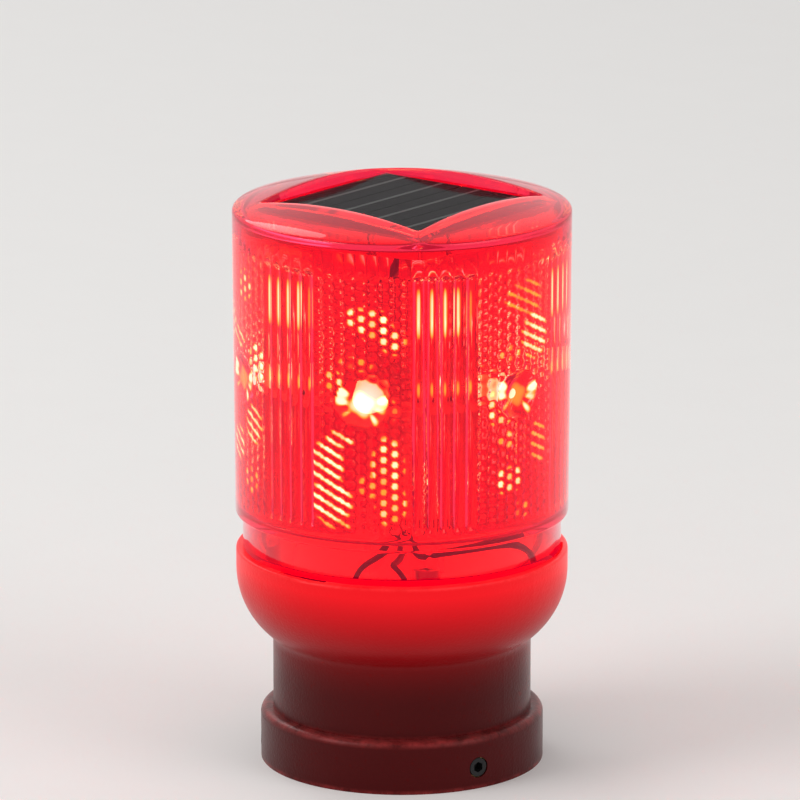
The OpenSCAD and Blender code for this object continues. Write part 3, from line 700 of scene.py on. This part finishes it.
# where the pillows of a panel catch a light, as painted glints: degrees from its middle, mm over the
# light, reach across and up in mm, brightness, and whether the spots run together down to the right
CATCHES = {
    "front": (
        (-1.0, 18.0, 3.2, 2.7, 0.9, 0.0), (5.0, 16.5, 4.2, 4.0, 1.0, 0.0),
        (11.5, 13.5, 3.3, 3.4, 0.9, 0.0),
        (-13.5, -13.0, 4.6, 5.5, 1.0, 1.0), (-11.5, -20.5, 5.4, 5.5, 1.0, 1.0),
        (-9.5, -26.0, 3.6, 3.0, 0.6, 1.0), (9.5, -12.5, 4.2, 7.0, 0.9, 0.0),
        (10.5, -20.5, 3.8, 5.6, 0.8, 0.0), (2.5, -17.0, 2.6, 3.0, 0.55, 0.0),
        (-11.0, 4.5, 2.6, 3.0, 0.8, 0.0), (-2.0, 8.5, 4.5, 2.2, 0.5, 0.0),
        (10.5, -1.0, 1.8, 3.0, 0.6, 0.0),
        (-8.0, -7.5, 3.5, 2.2, 0.9, 1.0)),
    "side": (
        (8.5, 12.0, 4.8, 6.0, 0.9, 1.0), (3.0, 20.0, 7.0, 4.6, 0.5, 1.0),
        (-4.0, 9.0, 3.2, 2.6, 0.6, 0.0), (-8.0, -1.5, 4.4, 5.2, 1.0, 0.0),
        (-4.0, -17.5, 4.2, 3.6, 0.9, 0.0),
        (2.0, -24.0, 3.4, 2.6, 0.5, 0.0), (-6.0, -9.0, 2.6, 2.4, 0.7, 0.0),
        (11.0, -11.0, 3.2, 6.0, 0.55, 1.0)),
    "back": (
        (12.5, 5.0, 4.2, 4.6, 1.0, 0.0), (10.0, -8.5, 4.2, 4.8, 0.8, 1.0),
        (3.0, 20.0, 4.0, 4.0, 0.8, 0.0),
        (-12.0, 11.0, 3.4, 4.4, 0.8, 0.0), (-3.0, 8.5, 4.2, 2.8, 0.7, 1.0),
        (-4.0, -14.0, 4.2, 4.4, 0.8, 1.0), (8.0, -20.0, 3.4, 4.0, 0.6, 0.0)),
}
CATCH_ORDER = ("side", "back", "front", "side", "back", "front")
STREAK = Vector((1.0, -0.5)).normalized()
PANEL_HALF = (PANEL_DEG - BANK_DEG) / 2


def bullseye(side, up, r, rise, which):
    """A point on a bullseye: radius of the wall, and the painted glow on its ring and middle."""
    out = math.hypot(side, up)
    turn = math.atan2(up, side)
    # painted glow round the light's image: a ragged ring and a bright middle
    fleck = math.sin(2.0 * turn + 1.9) + 0.6 * math.sin(5.0 * turn + 0.4)
    fleck += 0.5 * math.sin(11.0 * turn - 1.3)
    halo = max(0.0, 1.0 - ((out - 4.1 - 0.5 * math.sin(3.0 * turn)) / 1.7) ** 2)
    core = max(0.0, 1.0 - (out / (3.1 + 0.35 * math.sin(4.0 * turn + 0.6))) ** 4)
    core *= 0.9 if which == "front" else 0.45
    return r - rise, min(1.0, max(core, 0.8 * halo * max(0.0, fleck + 0.15))), 1.0


def painted_glints(off, up, away, own, which):
    """How bright the painted glint is at a place on a pillow, from its panel's catches."""
    glint = 0.0
    along = away.dot(STREAK)
    aside = away.length_squared - along ** 2
    for turn, lift, wide, tall, share, runs in CATCHES[which]:
        lit = 1.0 - ((off - turn) * MM_PER_DEG / wide) ** 2 - ((up - lift) / tall) ** 2
        if lit > 0:
            spread_out = aside * (1.0 + 1.6 * runs) + along ** 2 * (1.0 - 0.8 * runs)
            spot = min(1.0, 2.2 * max(0.0, 1.0 - spread_out / SPOT))
            uneven = own if runs < 0.5 else 0.4 + 0.6 * own
            glint = max(glint, share * uneven * min(1.0, 2.0 * lit) * spot)
    return glint


def rib(off, up, r, end, lens):
    """A point in a bank of upright ribs: radius, painted glint and relief (painted shade)."""
    rib_r = lens.rib_r / MM
    swing = BANK_DEG / RIB_COUNT
    from_bank = (off - PANEL_HALF) % PANEL_DEG
    nearest = (from_bank % swing) - swing / 2
    centre = LENS_LOW_R - WALL + rib_r * 0.4
    side = centre * math.sin(math.radians(nearest))
    if abs(side) >= rib_r:
        return r, 0.0, 1.0 - 0.8 * end
    reach = centre * math.cos(math.radians(nearest)) - math.sqrt(rib_r ** 2 - side ** 2)
    crest = max(0.0, 1.0 - (side / 0.5) ** 2)
    # painted glints along the ribs' crests: a long streak and a short tick
    streak = max(0.0, 1.0 - ((up - 19.0) / 5.8) ** 4)
    tick = max(0.0, 1.0 - ((up - 3.2) / 2.4) ** 2) * 0.55
    lit = crest * max(streak * (0.9 if from_bank < 18.0 else 0.45), tick) * end
    return min(r, r + (reach - r) * end), lit, 1.0 - 0.8 * end * min(1.0, (side / rib_r) ** 2)


def optic(angle, z, r, lens):
    """Radius of the inner wall, its painted glint and its relief (painted shade), at an angle and
    height.
    """
    sector = math.degrees(angle) - PANEL_TURN
    off = (sector + PANEL_DEG / 2) % PANEL_DEG - PANEL_DEG / 2
    up = z - LIGHT_Z
    end = max(0.0, min((z - OPTIC_LOW) / OPTIC_FADE, (OPTIC_HIGH - z) / OPTIC_FADE, 1.0))
    if abs(off) >= PANEL_HALF:
        return rib(off, up, r, end, lens)
    which = CATCH_ORDER[int((sector + PANEL_DEG / 2) % 360.0 // PANEL_DEG)]
    side = r * math.radians(off)
    bull = BULL_EDGE ** 2 - side ** 2 - up ** 2
    rise = math.sqrt(BULL_R ** 2 - BULL_EDGE ** 2 + bull) - BULL_SEAT if bull > 0 else 0.0
    if rise > BULL_LIP:
        return bullseye(side, up, r, rise, which)
    high, away, own = pillow(off / PILLOW_DEG, up, lens.pillow_pitch / MM)
    edge = min(1.0, (PANEL_HALF - abs(off)) / OPTIC_FADE)
    stand = lens.pillow / MM * high * edge * end
    glint = painted_glints(off, up, away, own, which) * end
    return r - stand, glint, 1.0 - edge * end * (1.0 - high)


def build_lens(lens, material):
    """The lens as one closed shell: dome, pocket, optics, band, groove and lugs."""
    rows = lens_rows()
    start = [(r, z) if shape in ("round", "optic", "lug") else (10.0 + 0.1 * k, 0.0)
             for k, (r, z, shape, value) in enumerate(rows)]
    bm = spun_in_sectors([(r * MM, z * MM) for r, z in start], STEPS, PANEL_COUNT)
    row_layer = bm.verts.layers.int["row"]
    # glint carries the painted glow and glints; relief sets the painted shade in the valleys
    glint = bm.verts.layers.float.new("glint")
    relief = bm.verts.layers.float.new("relief")
    edge_r = LENS_R - 0.9
    inner = LENS_R - WALL - 0.32
    known = {}
    for vert in bm.verts:
        r, z, shape, value = rows[vert[row_layer]]
        vert[relief] = 1.0
        if shape == "round":
            continue
        angle = math.atan2(vert.co.y, vert.co.x)
        if shape == "dome":
            square = square_radius(angle, POCKET_HALF + 0.28, 0.9)
            r = edge_r + (square - edge_r) * value
            z = dome_height(r)
        elif shape == "pocket":
            r = square_radius(angle, POCKET_HALF + value, 0.7)
            z = dome_height(r) + z
        elif shape == "square":
            r = square_radius(angle, value, 0.7 if value < 21 else 1.5)
        elif shape == "under":
            square = square_radius(angle, BLOCK_HALF, 1.5)
            r = square + (inner - square) * value
            z = dome_height(r, WALL)
        elif shape == "lug":
            turn = (math.degrees(angle) + LUG_PITCH_DEG / 2) % LUG_PITCH_DEG - LUG_PITCH_DEG / 2
            r += value if abs(turn) <= LUG_HALF_DEG else 0.0
        elif shape == "optic":
            key = (round(math.degrees(angle) * STEPS / 360.0) % STEPS, vert[row_layer])
            if key not in known:
                known[key] = optic(angle, z, r, lens)
            r, vert[glint], vert[relief] = known[key]
        vert.co = (r * MM * math.cos(angle), r * MM * math.sin(angle), z * MM)
    face_outwards(bm)
    obj = as_object(bm, "clear_red_lens", material, smooth=False)
    obj.data.set_sharp_from_angle(angle=math.radians(50))
    return obj


def build_light(index, material):
    """One light: domed body with a collar, spun about its own length."""
    r, tip = LIGHT_R, LIGHT_L
    section = [
        (0.0, 0.0), (COLLAR_R - 0.15, 0.0), (COLLAR_R, 0.15), (COLLAR_R, COLLAR_T - 0.15),
        (COLLAR_R - 0.15, COLLAR_T), (r + 0.08, COLLAR_T), (r, COLLAR_T + 0.15), (r, tip - r)]
    for k in range(1, 9):
        turn = math.radians(90 * k / 8)
        section.append((r * math.cos(turn), tip - r + r * math.sin(turn)))
    bm = spun([(a * MM, b * MM) for a, b in section], 40)
    close_poles(bm)
    hotness = bm.verts.layers.float.new("hotness")
    for vert in bm.verts:
        vert[hotness] = vert.co.z / (LIGHT_L * MM)
    lay = Matrix.Rotation(math.radians(90), 4, "Y")
    turn = Matrix.Rotation(math.radians(PANEL_TURN + index * PANEL_DEG), 4, "Z")
    away = Matrix.Translation((LIGHT_TIP * MM - LIGHT_L * MM, 0, LIGHT_Z * MM))
    bmesh.ops.transform(bm, matrix=turn @ away @ lay, verts=bm.verts)
    return as_object(bm, f"light_{index + 1}", material)


# ---------- the solar tile ----------
def plate(bm, centre, size, corner, edge):
    """A slab with rounded upright corners and a rounded top edge, in millimetres."""
    made = bmesh.ops.create_cube(bm, size=1.0)["verts"]
    scale = Matrix.Diagonal((size[0] * MM, size[1] * MM, size[2] * MM, 1.0))
    bmesh.ops.transform(bm, matrix=Matrix.Translation(Vector(centre) * MM) @ scale, verts=made)
    mid = centre[2] * MM
    edges = {e for v in made for e in v.link_edges}
    posts = [e for e in edges if (e.verts[0].co.z - mid) * (e.verts[1].co.z - mid) < 0]
    made = bmesh.ops.bevel(
        bm, geom=posts, offset=corner * MM, offset_type="OFFSET", affect="EDGES", segments=4,
        profile=0.5, material=-1)
    faces = {f for v in made["verts"] for f in v.link_faces}
    rim = {e for f in faces for e in f.edges
           if min(v.co.z for v in e.verts) > mid and any(len(g.verts) > 4 for g in e.link_faces)}
    bmesh.ops.bevel(
        bm, geom=list(rim), offset=edge * MM, offset_type="OFFSET", affect="EDGES", segments=2,
        profile=0.5, material=-1)


def build_cells(material):
    """Four narrow silicon cells side by side."""
    bm = bmesh.new()
    for k in range(CELL_COUNT):
        plate(bm, ((k - (CELL_COUNT - 1) / 2) * CELL_PITCH, 0.0, CELL_Z + CELL_T / 2),
              (CELL_W, CELL_L, CELL_T), 0.6, 0.05)
    face_outwards(bm)
    return as_object(bm, "silicon_cells", material, smooth=False)


def build_cover(material):
    """The clear cover, cast round the cells."""
    bm = bmesh.new()
    low = CELL_Z + 0.02
    plate(bm, (0.0, 0.0, (low + TILE_TOP) / 2), (2 * TILE_HALF, 2 * TILE_HALF, TILE_TOP - low),
          0.6, 0.2)
    face_outwards(bm)
    return as_object(bm, "clear_cover", material, smooth=False)


# ---------- operators ----------
class FLARE_OT_lens(bpy.types.Operator):
    """Builds the clear red lens with its optics"""
    bl_idname = "flare.lens"
    bl_label = "Lens"

    def execute(self, context):
        lens = context.scene.flare_lens
        obj = build_lens(lens, lens_plastic(lens))
        stand_in(obj, "lens_unit", "lens_plastic", "lens")
        return {"FINISHED"}


class FLARE_OT_lights(bpy.types.Operator):
    """Builds the six lights"""
    bl_idname = "flare.lights"
    bl_label = "Lights"

    def execute(self, context):
        lights = context.scene.flare_lights
        resin = light_resin(lights)
        for index in range(PANEL_COUNT):
            obj = build_light(index, resin)
            stand_in(obj, "base", "led_body", f"led_{index + 1}")
        return {"FINISHED"}


class FLARE_OT_tile(bpy.types.Operator):
    """Builds the solar tile's cells and its clear cover"""
    bl_idname = "flare.tile"
    bl_label = "Solar tile"

    def execute(self, context):
        tile = context.scene.flare_tile
        stand_in(build_cells(silicon(tile)), "lens_unit", "solar_cell", "solar_cells")
        clear = finish("Clear resin", (0.93, 0.94, 0.9), 0.06, 0.03, 300.0, 0.0,
                       Transmission_Weight=1.0, IOR=1.04)
        stand_in(build_cover(clear), "lens_unit", "solar_cover", "solar_cover")
        return {"FINISHED"}


class FLARE_OT_frame_finishes(bpy.types.Operator):
    """Gives every frame piece its finish"""
    bl_idname = "flare.frame_finishes"
    bl_label = "Finishes"

    def execute(self, context):
        housing = context.scene.flare_housing
        steel = dict(Metallic=1.0)
        made = {
            "base": base_plastic(housing),
            "tin": finish("Tinned metal", (0.72, 0.71, 0.69), 0.25, 0.12, 1800.0, 0.00001, **steel),
            "dull_tin": finish("Dull tin", (0.07, 0.07, 0.07), 0.4, 0.12, 1800.0, 0.00001,
                               Metallic=0.4, Specular_IOR_Level=0.1),
            "zinc": finish("Zinc plate", (0.62, 0.62, 0.6), 0.3, 0.15, 1500.0, 0.00001, **steel),
            "black_screw": finish("Black oxide", (0.02, 0.02, 0.021), 0.38, 0.12, 1500.0, 0.00001,
                                  Metallic=0.6),
            "brass": finish("Brass", (0.75, 0.52, 0.2), 0.28, 0.12, 1500.0, 0.00001, **steel),
            "pale": pale_plastic(housing),
            "board": finish("Solder mask", (0.03, 0.19, 0.08), 0.3, 0.08, 700.0, 0.00001,
                            Coat_Weight=0.4, Coat_Roughness=0.12),
            "white_board": finish("White solder mask", (0.82, 0.81, 0.78), 0.3, 0.08, 700.0, 0.00001,
                                  Coat_Weight=0.4, Coat_Roughness=0.12),
            "black": finish("Black package", (0.025, 0.025, 0.027), 0.5, 0.1, 2500.0, 0.00002),
            "ivory": finish("Ivory nylon", (0.8, 0.75, 0.6), 0.45, 0.1, 1500.0, 0.00002),
            "ferrite": finish("Ferrite", (0.1, 0.1, 0.1), 0.6, 0.1, 2500.0, 0.00004),
            "can_sleeve": finish("Capacitor sleeve", (0.03, 0.04, 0.18), 0.3, 0.08, 1200.0, 0.00001),
            "rubber": finish("Soft rubber", (0.02, 0.02, 0.02), 0.7, 0.1, 2500.0, 0.00005),
            "tray": finish("Dark plastic", (0.16, 0.16, 0.17), 0.5, 0.1, 1500.0, 0.00003),
            "sleeve": finish("Green sleeve", (0.07, 0.4, 0.1), 0.25, 0.08, 900.0, 0.00001,
                             Coat_Weight=0.3),
            "wire_black": finish("Black wire", (0.012, 0.012, 0.012), 0.35, 0.1, 900.0, 0.00001),
            "wire_red": finish("Red wire", (0.5, 0.02, 0.02), 0.35, 0.1, 900.0, 0.00001),
            "tile_board": finish("Tile board", (0.015, 0.014, 0.015), 0.4, 0.1, 1500.0, 0.00002,
                                 Specular_IOR_Level=0.05),
            "foam": finish("Foam pad", (0.35, 0.35, 0.34), 0.9, 0.05, 3000.0, 0.0001),
        }
        use = {
            "base": ["base_housing"],
            "tin": ["battery_can", "battery_cap", "contact_spring", "led_leads",
                    "negative_contact", "positive_contact"],
            "dull_tin": ["solar_busbars"],
            "zinc": ["chassis_screws", "driver_screws", "led_board_screws"],
            "black_screw": ["pole_screw_1", "pole_screw_2", "pole_screw_3"],
            "brass": ["screw_inserts"],
            "pale": ["chassis"],
            "white_board": ["led_board"],
            "board": ["driver_board"],
            "black": ["driver_chip", "led_resistors", "switch_body"],
            "ivory": ["panel_header", "panel_plug"],
            "ferrite": ["boost_inductor"],
            "can_sleeve": ["buffer_capacitor"],
            "rubber": ["o_ring", "switch_button"],
            "tray": ["battery_tray"],
            "sleeve": ["battery_sleeve"],
            "wire_black": ["battery_lead_black", "mast_lead_a", "mast_lead_b", "mast_lead_c",
                           "panel_lead_black"],
            "wire_red": ["battery_lead_red", "panel_lead_red"],
            "tile_board": ["solar_substrate"],
            "foam": ["tile_adhesive"],
        }
        for finish_name, names in use.items():
            for name in names:
                mesh = NODES[name].data
                mesh.materials.clear()
                mesh.materials.append(made[finish_name])
        return {"FINISHED"}


# name, place and width in metres, and power in watts
LAMPS = (
    ("key_lamp", (-0.5, -0.9, 1.1), 0.8, 7.0),
    ("fill_lamp", (1.2, 0.1, 0.9), 0.9, 4.0),
    ("back_lamp", (-1.3, 0.5, 1.2), 0.9, 4.5),
)
LAMP_AIM = Vector((0, 0, 0.06))
WORLD_LEVEL = 0.55      # the world's light on the object
SEEN_EXTRA = 0.25       # and what is added where it is seen, mirrored or seen through glass
FOCAL_LENGTH = 314.3
AIM_Z = 0.0763          # the camera looks at this height, and so much beside the axis
AIM_ASIDE = 0.00041


class FLARE_OT_stage(bpy.types.Operator):
    """Lays the floor and sets the lamps, the world and the camera"""
    bl_idname = "flare.stage"
    bl_label = "Stage"

    def execute(self, context):
        stage = context.scene.flare_stage
        scene = context.scene
        scene.view_settings.view_transform = "Standard"
        bm = bmesh.new()
        bmesh.ops.create_grid(bm, x_segments=2, y_segments=2, size=6.0)
        paint = finish("Plain floor", stage.floor, rough=0.75, uneven=0.03, grain=30.0, bump=0.0,
                       variation=0.01)
        floor = as_object(bm, "floor", paint, smooth=False)
        world = bpy.data.worlds.new("Plain studio")
        scene.world = world
        world.use_nodes = True
        tree = world.node_tree
        back = tree.nodes["Background"]
        back.inputs["Color"].default_value = (1.0, 0.99, 0.98, 1.0)
        path = tree.nodes.new("ShaderNodeLightPath")
        seen = maths(tree, "MAXIMUM", path.outputs["Is Camera Ray"], path.outputs["Is Glossy Ray"])
        seen = maths(tree, "MAXIMUM", seen, path.outputs["Is Transmission Ray"])
        strength = maths(tree, "MULTIPLY_ADD", seen, SEEN_EXTRA, c=WORLD_LEVEL)
        tree.links.new(strength, back.inputs["Strength"])
        for name, spot, size, power in LAMPS:
            lamp = bpy.data.lights.new(name, "AREA")
            lamp.shape = "DISK"
            lamp.size = size
            lamp.energy = power
            obj = bpy.data.objects.new(name, lamp)
            scene.collection.objects.link(obj)
            obj.location = spot
            way = LAMP_AIM - Vector(spot)
            obj.rotation_euler = way.to_track_quat("-Z", "Y").to_euler()
        camera = bpy.data.cameras.new("camera")
        camera.sensor_width = 36.0
        camera.lens = FOCAL_LENGTH
        camera.clip_start = 0.05
        camera.clip_end = 50.0
        eye = bpy.data.objects.new("camera", camera)
        scene.collection.objects.link(eye)
        sine, cosine = math.sin(stage.azimuth), math.cos(stage.azimuth)
        eye.location = (stage.distance * sine, -stage.distance * cosine, stage.height)
        aim = Vector((0, 0, AIM_Z)) - AIM_ASIDE * Vector((cosine, sine, 0))
        eye.rotation_euler = (aim - eye.location).to_track_quat("-Z", "Y").to_euler()
        scene.camera = eye
        return {"FINISHED"}


class FLARE_PT_sidebar(bpy.types.Panel):
    """Lists the flare's pieces and their sizes"""
    bl_idname = "FLARE_PT_sidebar"
    bl_label = "Warning flare"
    bl_space_type = "VIEW_3D"
    bl_region_type = "UI"
    bl_category = "Flare"

    def draw(self, context):
        column = self.layout.column()
        for operator in OPERATORS:
            column.operator(operator.bl_idname)
        for name in SETTINGS:
            group = getattr(context.scene, name)
            box = column.box()
            for label in group.bl_rna.properties.keys():
                if label not in ("rna_type", "name"):
                    box.prop(group, label)


OPERATORS = (
    FLARE_OT_frame_finishes, FLARE_OT_lens, FLARE_OT_lights, FLARE_OT_tile, FLARE_OT_stage)
SETTINGS = {
    "flare_lens": FlareLens, "flare_housing": FlareHousing, "flare_lights": FlareLights,
    "flare_tile": FlareTile, "flare_stage": FlareStage,
}


def register():
    for group in SETTINGS.values():
        bpy.utils.register_class(group)
    for name, group in SETTINGS.items():
        setattr(bpy.types.Scene, name, PointerProperty(type=group))
    for cls in (*OPERATORS, FLARE_PT_sidebar):
        bpy.utils.register_class(cls)


def unregister():
    for cls in (FLARE_PT_sidebar, *reversed(OPERATORS)):
        bpy.utils.unregister_class(cls)
    for name in SETTINGS:
        delattr(bpy.types.Scene, name)
    for group in SETTINGS.values():
        bpy.utils.unregister_class(group)


def main():
    register()
    bpy.ops.flare.frame_finishes()
    bpy.ops.flare.lens()
    bpy.ops.flare.lights()
    bpy.ops.flare.tile()
    bpy.ops.flare.stage()


if __name__ == "__main__":
    main()
